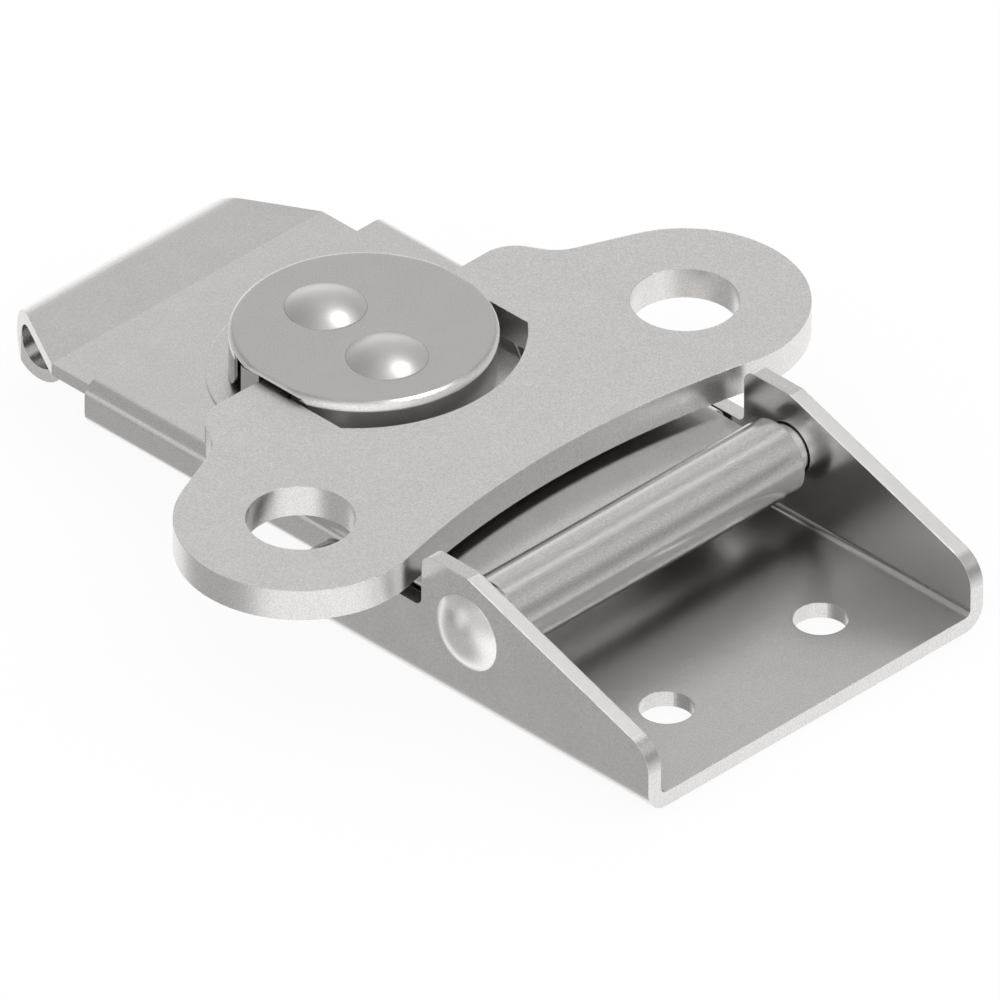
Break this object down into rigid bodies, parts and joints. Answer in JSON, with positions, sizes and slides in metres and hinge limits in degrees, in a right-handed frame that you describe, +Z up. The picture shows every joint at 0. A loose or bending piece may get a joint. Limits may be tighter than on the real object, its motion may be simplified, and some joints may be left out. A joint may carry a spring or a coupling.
{
  "type": "rotary draw latch",
  "caption": "Stainless rotary draw latch: a fold-up butterfly handle turns a cam that pulls a curled draw hook along a carrier hinged on a folded base bracket.",
  "frame": {"origin": "midway between the two screw holes, on the underside of the base", "axes": "+X along the latch towards the free end of the base, away from the draw hook; +Y across it, along the pivot pin; +Z up, out of the surface the base is screwed to"},
  "size_m": [0.0917, 0.073, 0.016],
  "materials": {
    "base_bracket": "fine satin, folded sheet",
    "pivot_pin": "bright, headed and peened",
    "carrier": "fine satin, folded and rolled sheet",
    "wear_washer": "satin",
    "draw_hook": "fine satin, formed sheet",
    "rotor_hub": "machined",
    "detent_spring": "spring steel",
    "rotor_cap": "satin, drawn sheet with a bright rim",
    "cap_rivet": "bright domed head",
    "cam_rivet": "bright domed head",
    "retaining_washer": "plain",
    "butterfly_handle": "fine satin, blanked plate"
  },
  "bodies": {
    "base": {"base_bracket": "base_bracket", "pivot_pin": "pivot_pin"},
    "carrier": {"carrier": "carrier", "wear_washer": "wear_washer"},
    "hook": {"draw_hook": "draw_hook"},
    "rotor": {"rotor_hub": "rotor_hub", "detent_spring": "detent_spring", "rotor_cap": "rotor_cap", "cap_rivet": "cap_rivet", "cam_rivet": "cam_rivet", "retaining_washer": "retaining_washer"},
    "handle": {"butterfly_handle": "butterfly_handle"}
  },
  "joints": [
    {"name": "carrier_lift", "type": "hinge", "parent": "base", "child": "carrier", "pos_m": [-0.01408, 0, 0.00874], "axis": [0, 1, 0], "range_deg": [0, 12]},
    {"name": "handle_fold", "type": "hinge", "parent": "rotor", "child": "handle", "pos_m": [-0.04903, 0, 0.01246], "axis": [0, -1, 0], "range_deg": [0, 180]},
    {"name": "rotor_turn", "type": "hinge", "parent": "carrier", "child": "rotor", "pos_m": [-0.04903, 0, 0], "axis": [0, 0, 1], "range_deg": [0, 180]},
    {"name": "hook_slide", "type": "slide", "parent": "carrier", "child": "hook", "axis": [-1, 0, 0], "range_m": [0, 0.01]}
  ],
  "couplings": [
    {"joint": "rotor_turn", "follows": "handle_fold", "ratio": 0.33333},
    {"joint": "hook_slide", "follows": "handle_fold", "m_per_rad": 0.000667}
  ]
}
